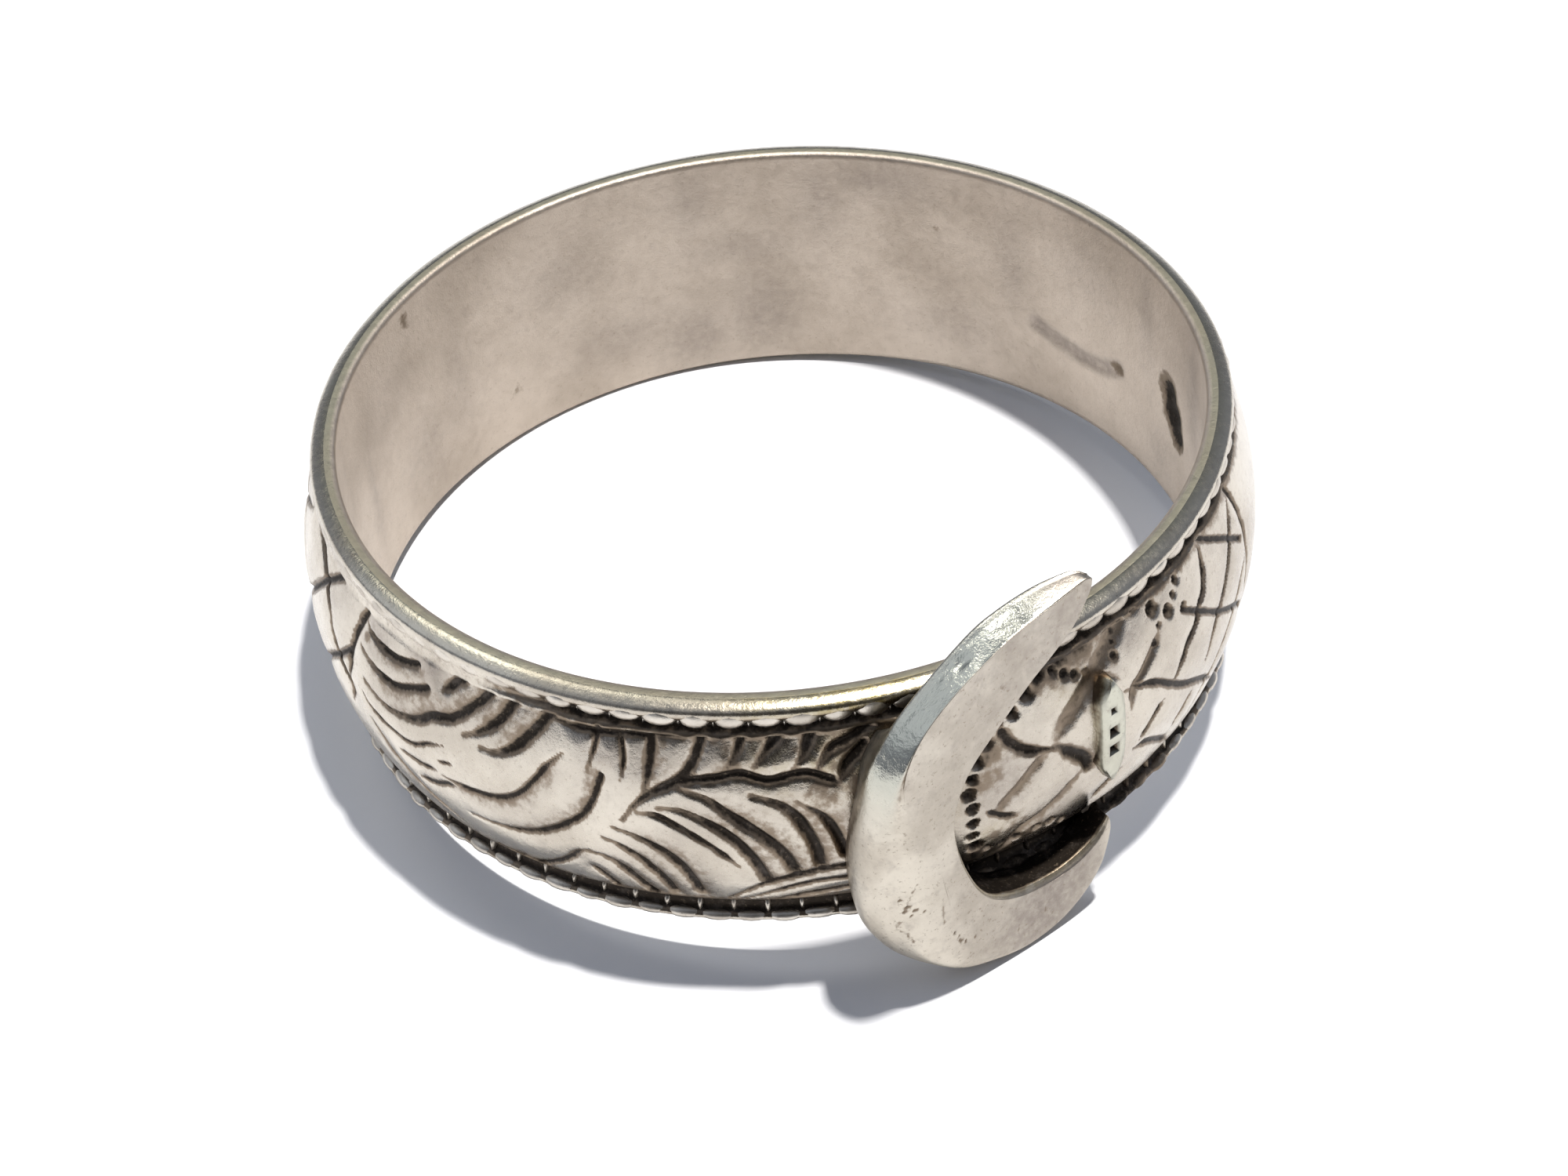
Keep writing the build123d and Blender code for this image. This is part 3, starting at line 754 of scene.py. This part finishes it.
def edging_tree():
    """Geometry nodes: lobes and bridges round a circle, a little uneven, leant with the ring, with painted
    shade near the buckle's window.
    """
    tree = bpy.data.node_groups.new("beaded_edging", "GeometryNodeTree")
    tree.is_modifier = True
    sockets = {
        "Geometry": "Geometry", "Beads": "Int", "Seed": "Int", "Bead radius": "Float", "Bead height": "Float",
        "Bridge radius": "Float", "Bridge height": "Float", "Lean": "Float", "Window shade": "Float",
        "Window shade middle": "Float", "Bead half size": "Vector", "Bridge half size": "Vector", "Metal": "Material",
    }
    for name, kind in sockets.items():
        tree.interface.new_socket(name, in_out="INPUT", socket_type="NodeSocket" + kind)
    tree.interface.new_socket("Geometry", in_out="OUTPUT", socket_type="NodeSocketGeometry")
    bench = NodeBench(tree)
    add, number = bench.add, bench.number
    given = add("NodeGroupInput").outputs

    def vector(x, y, z):
        return add("ShaderNodeCombineXYZ", {0: x, 1: y, 2: z}).outputs[0]

    def position():
        return add("ShaderNodeSeparateXYZ", {0: add("GeometryNodeInputPosition").outputs[0]}).outputs

    def lobe(segments, rings, half_size):
        """A ball, a little fuller towards both ends, lying along X."""
        ball = add("GeometryNodeMeshUVSphere", {"Segments": segments, "Rings": rings, "Radius": 1.0})
        lying = {"Geometry": ball.outputs["Mesh"], "Rotation": (0, math.pi / 2, 0)}
        x, y, z = position()
        inside = number("SUBTRACT", 1.0, number("MULTIPLY", x, x))
        wider = number("POWER", number("MAXIMUM", inside, 0.02), -0.06)
        filled = add("GeometryNodeSetPosition", {
            "Geometry": add("GeometryNodeTransform", lying).outputs["Geometry"],
            "Position": vector(x, number("MULTIPLY", y, wider), number("MULTIPLY", z, wider)),
        })
        sized = {"Geometry": filled.outputs["Geometry"], "Scale": given[half_size]}
        return add("GeometryNodeTransform", sized).outputs["Geometry"]

    def round_the_edge(shape, kind, first, low, high, seed_shift):
        """One copy of a shape at each place round the edge, facing out."""
        ring = add("GeometryNodeMeshCircle", {"Vertices": given["Beads"], "Radius": given[kind + " radius"]})
        pitch = number("DIVIDE", 2 * math.pi, given["Beads"])
        lift = add("GeometryNodeTransform", {
            "Geometry": ring.outputs["Mesh"], "Translation": vector(0.0, 0.0, given[kind + " height"]),
            "Rotation": vector(0.0, 0.0, number("MULTIPLY", pitch, first)),
        })
        turn = number("MULTIPLY", number("ADD", add("GeometryNodeInputIndex").outputs[0], first), pitch)
        size = add("FunctionNodeRandomValue", {
            0: (low, low, low), 1: (high, high, high), "Seed": number("ADD", given["Seed"], seed_shift),
        }, data_type="FLOAT_VECTOR")
        copies = add("GeometryNodeInstanceOnPoints", {
            "Points": lift.outputs["Geometry"], "Instance": shape, "Scale": size.outputs[0],
            "Rotation": vector(0.0, 0.0, number("ADD", turn, math.pi / 2)),
        })
        return copies.outputs["Instances"]

    bead, bridge = lobe(12, 8, "Bead half size"), lobe(6, 4, "Bridge half size")
    beads = round_the_edge(bead, "Bead", first=0.0, low=0.84, high=1.08, seed_shift=0)
    bridges = round_the_edge(bridge, "Bridge", first=0.5, low=0.7, high=1.15, seed_shift=7)
    both = add("GeometryNodeJoinGeometry", {0: beads})
    bench.feed(both, {0: bridges})
    real = add("GeometryNodeRealizeInstances", {0: both.outputs[0]})
    tipped = vector(number("MULTIPLY", given["Lean"], -1.0), 0.0, 0.0)
    leant = add("GeometryNodeTransform", {"Geometry": real.outputs[0], "Rotation": tipped})
    smooth = add("GeometryNodeSetShadeSmooth", {"Geometry": leant.outputs["Geometry"]})
    # Lobes near the middle of the buckle's window get painted shade in the cut mark: the shadow of the
    # buckle's lower limb.
    x, y, z = position()
    turn = number("ARCTAN2", x, number("MULTIPLY", y, -1.0))
    past = number("ABSOLUTE", number("SUBTRACT", turn, given["Window shade middle"]), 0.0)
    soot = number("MULTIPLY", number("SUBTRACT", 1.35, number("DIVIDE", past, 0.30)), given["Window shade"])
    mark = add("GeometryNodeStoreNamedAttribute", {
        "Geometry": smooth.outputs["Geometry"], "Name": "cut",
        "Value": number("MINIMUM", number("MAXIMUM", soot, 0.0), 0.85),
    })
    metal = add("GeometryNodeSetMaterial", {"Geometry": mark.outputs["Geometry"], "Material": given["Metal"]})
    add("NodeGroupOutput", {"Geometry": metal.outputs["Geometry"]})
    return tree


def grown(name, tree, inputs):
    """Runs a tree of geometry nodes with its inputs and keeps the plain mesh."""
    piece = bpy.data.objects.new(name, bpy.data.meshes.new(name))
    bpy.context.scene.collection.objects.link(piece)
    run = piece.modifiers.new(name, "NODES")
    run.node_group = tree
    for item in tree.interface.items_tree:
        if item.in_out == "INPUT" and item.name in inputs:
            run[item.identifier] = inputs[item.name]
    seen = piece.evaluated_get(bpy.context.evaluated_depsgraph_get())
    mesh = bpy.data.meshes.new_from_object(seen)
    piece.modifiers.clear()
    piece.data = mesh
    mesh.name = name
    return piece


bead_silver = silver_finish(
    "bead_silver", (0.68, 0.63, 0.55, 1), cloud=(600.0, 0.4), grain=8000.0, rough=(0.30, 0.46),
)
edging = edging_tree()
for name, (side, bead_half, bead_drop, bridge_half, bridge_drop, seed) in edges.items():
    edge = grown(name, edging, {
        "Beads": bead_count, "Seed": seed, "Lean": lean, "Metal": bead_silver,
        "Bead radius": bead_radius / 1000, "Bead height": side * (half_width - bead_drop) / 1000,
        "Bridge radius": bridge_radius / 1000, "Bridge height": side * (half_width - bridge_drop) / 1000,
        "Bead half size": [size / 1000 for size in bead_half],
        "Bridge half size": [size / 1000 for size in bridge_half],
        "Window shade": 1.0 if side < 0 else 0.0, "Window shade middle": float(from_front(window_middle)),
    })
    declare(edge)


# Buckle: a crescent of plate with a flat, matt face, soldered to the band by its bar. Its upper horn keeps a
# crisp, polished side, and wear has rounded the bar's flank and the lower limb.
face_distance = 10.25
section_count, section_points = 290, 84
polished_colour = (0.53, 0.525, 0.45, 1)
polished_rough = 0.19
# One row a station from the upper tip to the lower one: inner edge, ridge between the face and the side, and
# foot of the side, each round and up; depth of the foot and of the inner side; the ridge's round, the bulge
# of the side, the bevel of the inner edge, how polished the side is and how much painted shade the face has.
stations = [
    (-0.02, 4.31, -0.04, 4.40, -0.05, 4.41, 0.14, 0.14, 0.02, 0.00, 0.02, 1.0, 0.5),
    (-0.04, 4.14, -0.20, 4.45, -0.22, 4.48, 0.32, 0.26, 0.03, 0.00, 0.03, 1.0, 0.6),
    (-0.20, 3.84, -0.52, 4.37, -0.55, 4.44, 0.46, 0.44, 0.04, 0.01, 0.03, 1.0, 0.6),
    (-0.51, 3.42, -1.02, 4.27, -1.07, 4.35, 0.60, 0.56, 0.04, 0.02, 0.03, 1.0, 0.6),
    (-1.05, 3.02, -1.74, 4.13, -1.79, 4.18, 0.70, 0.68, 0.04, 0.03, 0.03, 1.0, 0.58),
    (-1.60, 2.66, -2.38, 3.92, -2.46, 3.94, 0.75, 0.74, 0.04, 0.03, 0.03, 1.0, 0.52),
    (-2.43, 2.00, -3.40, 3.46, -3.55, 3.30, 0.78, 0.75, 0.05, 0.04, 0.03, 1.0, 0.42),
    (-3.06, 1.42, -4.22, 2.86, -4.38, 2.68, 0.80, 0.86, 0.06, 0.05, 0.04, 1.0, 0.32),
    (-3.42, 0.82, -4.70, 2.10, -4.88, 1.93, 0.90, 1.05, 0.13, 0.08, 0.04, 0.95, 0.24),
    (-3.54, 0.25, -4.86, 1.18, -5.04, 1.00, 1.08, 1.20, 0.38, 0.14, 0.05, 0.35, 0.20),
    (-3.52, -0.30, -4.80, 0.22, -5.08, 0.05, 1.38, 1.30, 0.60, 0.18, 0.05, 0.0, 0.20),
    (-3.42, -0.80, -4.72, -0.68, -5.08, -0.82, 1.55, 1.30, 0.70, 0.19, 0.05, 0.0, 0.22),
    (-3.27, -1.30, -4.68, -1.58, -5.04, -1.70, 1.55, 1.30, 0.85, 0.18, 0.05, 0.0, 0.26),
    (-3.05, -1.82, -4.62, -2.46, -4.88, -2.54, 1.45, 1.25, 0.85, 0.12, 0.06, 0.0, 0.30),
    (-2.76, -2.24, -4.25, -3.32, -4.44, -3.32, 1.22, 1.05, 0.75, 0.06, 0.07, 0.0, 0.36),
    (-2.35, -2.52, -3.50, -3.98, -3.62, -3.92, 1.00, 0.85, 0.50, 0.03, 0.10, 0.0, 0.44),
    (-1.88, -2.70, -2.62, -4.25, -2.66, -4.20, 0.85, 0.78, 0.28, 0.02, 0.11, 0.0, 0.75),
    (-1.40, -2.78, -1.85, -4.35, -1.82, -4.31, 0.75, 0.75, 0.16, 0.01, 0.11, 0.0, 0.92),
    (-0.92, -2.79, -1.05, -4.25, -1.04, -4.24, 0.75, 0.75, 0.15, 0.01, 0.11, 0.0, 0.92),
    (-0.46, -2.70, -0.41, -3.92, -0.39, -3.94, 0.75, 0.75, 0.14, 0.01, 0.11, 0.0, 0.80),
    (-0.07, -2.53, 0.06, -3.43, 0.10, -3.48, 0.72, 0.72, 0.12, 0.01, 0.10, 0.0, 0.65),
    (0.16, -2.34, 0.27, -2.92, 0.31, -2.97, 0.62, 0.62, 0.10, 0.01, 0.09, 0.0, 0.40),
    (0.27, -2.17, 0.36, -2.50, 0.38, -2.54, 0.46, 0.46, 0.08, 0.01, 0.06, 0.0, 0.35),
    (0.30, -2.08, 0.35, -2.24, 0.36, -2.26, 0.26, 0.26, 0.04, 0.00, 0.03, 0.0, 0.35),
]
# Pits of the face and flank: round, up, size and depth.
pits = [
    (-4.72, -1.30, 0.05, 0.04), (-4.60, -1.52, 0.06, 0.04), (-4.66, -1.66, 0.05, 0.03),
    (-4.48, -1.62, 0.05, 0.04), (-4.56, -1.78, 0.04, 0.03), (-4.34, -1.70, 0.04, 0.03),
    (-3.72, -2.66, 0.05, 0.04), (-3.62, -2.80, 0.04, 0.03), (-3.58, -2.96, 0.06, 0.04),
    (-3.44, -3.06, 0.05, 0.03), (-3.25, -3.10, 0.04, 0.03), (-2.2, 3.1, 0.03, 0.02),
    (-3.4, 1.6, 0.03, 0.02), (-2.13, -3.70, 0.05, 0.02), (-1.4, -3.6, 0.03, 0.02),
    (-2.6, -3.4, 0.04, 0.02),
]
# Scratches of the face: half width and the line each follows.
scratches = [
    (0.035, [(-4.46, -0.85), (-4.58, -1.25), (-4.68, -1.67)]),
    (0.045, [(-4.72, -1.98), (-4.78, -2.14), (-4.64, -2.30), (-4.52, -2.55)]),
    (0.030, [(-3.96, -1.54), (-3.94, -2.26)]),
    (0.030, [(-2.3, 2.95), (-1.9, 3.35)]),
]
mark_reach = -0.5                   # pits and scratches stop this far behind the face
# The oval dent of the polished side: its middle round and out from the face, its half sizes and its depth.
side_dent = (-2.87, -0.40, 0.20, 0.14, 0.035)
polished_above = 3.3


def through(table, count):
    """A table's rows drawn out smoothly to count rows."""
    p = np.array(table, float)
    p = np.vstack([2 * p[0] - p[1], p, 2 * p[-1] - p[-2]])
    at = np.linspace(0, len(table) - 1, count)
    i = np.minimum(at.astype(int), len(table) - 2)
    t = (at - i)[:, None]
    return bent(p[i], p[i + 1], p[i + 2], p[i + 3], t)


def section(row):
    """One section: round, up, out from the face, dark, polished, stained, haze and painted shade; inner side
    first.
    """
    inner, ridge, foot = row[0:2], row[2:4], row[4:6]
    deep, inner_deep, soft, bulge, bevel, polish, haze_and_shade_amount = row[6:13]
    wide = np.linalg.norm(ridge - inner)
    way = (ridge - inner) / wide
    soft = min(soft, 0.62 * wide)
    lip = min(bevel, 0.3 * wide)
    belly = foot + way * bulge
    turn_down = ridge - way * soft
    # Near the upper tip the polished side is painted duller and greyer: painted shade over its reflection.
    tip_shade = 0.95 * polish * np.clip((foot[0] + 1.6) / 0.9, 0, 1)
    shine = polish - 0.9 * tip_shade
    on_band = np.clip((2.9 - abs(foot[1])) / 0.4, 0, 1) * np.clip((-3.1 - foot[0]) / 0.5, 0, 1)
    # Painted dark: the inner side for patina and the shade in the window, and the foot and behind it as
    # shade.
    places = [
        (*inner, -inner_deep, 1.2, 0, 0, 0),
        (*inner, -inner_deep * 0.6, 1.2, 0, 0, 0),
        (*inner, -0.09 - lip, 1.15, 0, 0.5, 0),
        (*inner, -0.02 - lip * 0.8, 0.30, 0, 1.2, 0.5),
        (*(inner + way * lip * 0.5), -0.02 - lip * 0.4, 0, 0, 0.8, 0.5),
        (*(inner + way * lip), -0.012, 0, 0, 0.3, haze_and_shade_amount),
        (*(inner + way * (lip + 0.06)), 0.0, 0, 0, 0, haze_and_shade_amount),
        (*(inner * 0.6 + ridge * 0.4), 0.0, 0, 0, 0, haze_and_shade_amount),
        (*turn_down, -0.004, 0, 0, 0, haze_and_shade_amount * 0.85),
        (*(ridge - way * soft * 0.5), -0.02 - soft * 0.09, 0, 0, 0, haze_and_shade_amount * 0.3),
        (*(ridge - way * soft * 0.12), -soft * 0.30, 0.34 * polish, 0, 0, 0),
        (*(ridge * 0.7 + belly * 0.3), -soft * 0.58 - 0.02, 0, shine, 0, tip_shade),
        (*(ridge * 0.25 + belly * 0.75), -max(deep * 0.42, soft * 0.85 + 0.03), 0, shine, 0, tip_shade),
        (*(belly * 0.8 + foot * 0.2), -max(deep * 0.72, soft * 0.95 + 0.05), 0, shine, 0, tip_shade),
        (*foot, -deep, 0.5, polish * 0.5, 0, 0),
        (*(foot - way * 0.50), -deep - 0.02 - 0.6 * on_band, 1.0, 0, 0, 0),
    ]
    return through(places, section_points)


sections = np.array([section(row) for row in through(stations, section_count)])
for pit_round, pit_up, size, depth in pits:
    off = np.hypot(sections[..., 0] - pit_round, sections[..., 1] - pit_up) / size
    front = sections[..., 2] > mark_reach
    sections[..., 2] -= depth * np.clip(1 - off ** 2, 0, 1) * front
    sections[..., 3] = np.maximum(sections[..., 3], 0.7 * np.clip(1.3 - off, 0, 1) * front)
for half, line in scratches:
    for scratch_round, scratch_up in smooth_line(line, 0.03):
        off = np.hypot(sections[..., 0] - scratch_round, sections[..., 1] - scratch_up) / half
        deeper = np.clip(1 - off, 0, 1) * (sections[..., 2] > mark_reach)
        sections[..., 3] = np.maximum(sections[..., 3], 0.55 * deeper)
dent_round, dent_out, half_round, half_out, dent_depth = side_dent
off = np.hypot((sections[..., 0] - dent_round) / half_round, (sections[..., 2] - dent_out) / half_out)
sections[..., 1] -= dent_depth * np.clip(1 - off ** 2, 0, 1) * (sections[..., 1] > polished_above)


def on_face(places, distance=face_distance, turn=face_turn):
    """Places round, up and out from a flat face, to the square-standing ring."""
    p = np.asarray(places, float)
    out = distance + p[..., 2]
    x = out * math.sin(turn) + p[..., 0] * math.cos(turn)
    y = -out * math.cos(turn) + p[..., 0] * math.sin(turn)
    return np.stack([x, y, p[..., 1]], -1)


faces = hoop_faces(section_count, section_points)
last = (section_count - 1) * section_points
faces.append(list(range(section_points)))
faces.append([last + j for j in range(section_points - 1, -1, -1)])
buckle_silver = silver_finish(
    "buckle_silver", (0.67, 0.615, 0.52, 1), cloud=(800.0, 0.30), grain=9000.0, rough=(0.36, 0.50),
    relief_depth=0.000014, specks=0.6,
)
nodes = buckle_silver.node_tree.nodes
worn = nodes["worn"].outputs
bench = NodeBench(buckle_silver.node_tree)
shiny = bench.mark("polish")
hammered = bench.add("ShaderNodeBump", {
    "Height": bench.noise(2600.0, 2.0), "Strength": shiny, "Distance": 0.000026,
    "Normal": nodes["relief"].outputs["Normal"],
})
bench.feed(nodes["Principled BSDF"], {
    "Base Color": bench.blend(shiny, worn["Colour"], polished_colour),
    "Roughness": bench.blend(shiny, worn["Roughness"], polished_rough, "FLOAT"),
    "Normal": hammered.outputs["Normal"],
})
marks = {
    "cut": sections[..., 3], "polish": sections[..., 4],
    "stain": sections[..., 5] * 0.8, "haze_and_shade": sections[..., 6],
}
make_piece("buckle", on_face(sections[..., :3]).reshape(-1, 3), faces, marks, [buckle_silver])


# Strap plate: a small lozenge of silver soldered on the strap, just inside the buckle's window. Three square
# holes are punched in it in a row along the finger, and they and its foot beside its edges have painted
# shade.
lozenge_turn = math.radians(11.6)
lozenge_top = 10.35
lozenge_middle = 0.25
lozenge_rows = [(-1.37, 0.04), (-1.12, 0.18), (-0.90, 0.27), (-0.62, 0.29), (-0.34, 0.29), (-0.14, 0.29),
                (0.14, 0.29), (0.46, 0.29), (0.62, 0.28), (0.78, 0.26), (1.0, 0.15), (1.25, 0.03)]
hole_half = 0.135
hole_shift = 0.04                   # the holes are this far left of its middle
hole_rows = (3, 5, 7)               # each hole is between this row and the next
hole_depth = 0.22
lozenge_sink = 0.40
foot_spread = 0.05                  # its foot stands out past its sides by this
edge_bevel = 0.02
left_side, right_side = 0.07, 0.09  # depth of its upright sides
end_fall = 0.05                     # its ends fall away by this, times the square of their distance

points, faces, dark = [], [], []


def add_point(place, darkness):
    """Adds a point of the lozenge and gives its number."""
    points.append(place)
    dark.append(darkness)
    return len(points) - 1


grid = []
for height, half in lozenge_rows:
    inner = min(hole_half if height < 0.3 else 0.6 * hole_half, 0.7 * half)
    v = height + lozenge_middle
    sink = end_fall * abs(height) ** 2
    # Its sides and foot are darkened as painted shade, the right more than the left.
    low_left = add_point((-half - foot_spread, v, -lozenge_sink), 0.5)
    left = add_point((-half - edge_bevel, v, -left_side - sink), 0.12)
    places = (-half + edge_bevel, -inner - hole_shift, inner - hole_shift, half - edge_bevel)
    across = [add_point((x, v, -sink - edge_bevel * (abs(x) > 0.2)), 0.0) for x in places]
    right = add_point((half + edge_bevel, v, -right_side - sink), 0.35)
    low_right = add_point((half + foot_spread, v, -lozenge_sink), 0.8)
    grid.append([low_left, left] + across + [right, low_right])
for r in range(len(grid) - 1):
    for c in range(7):
        if c == 3 and r in hole_rows:
            rim = [grid[r][3], grid[r][4], grid[r + 1][4], grid[r + 1][3]]
            floor = [add_point((points[i][0] * 0.8, points[i][1], -hole_depth), 1.0) for i in rim]
            for i in range(4):
                k = (i + 1) % 4
                faces.append((rim[i], rim[k], floor[k], floor[i]))
            faces.append(tuple(floor))
        else:
            faces.append((grid[r][c], grid[r][c + 1], grid[r + 1][c + 1], grid[r + 1][c]))
faces.append(tuple(reversed(grid[0])))
faces.append(tuple(grid[-1]))
faces.append(tuple([row[0] for row in grid] + [row[7] for row in reversed(grid)]))
plate_silver = silver_finish(
    "plate_silver", (0.60, 0.59, 0.49, 1), cloud=(700.0, 0.2), grain=8000.0, rough=(0.3, 0.42),
)
placed = on_face(points, lozenge_top, lozenge_turn)
make_piece("strap_plate", placed, faces, {"cut": dark, "stain": [0.0] * len(dark)}, [plate_silver])
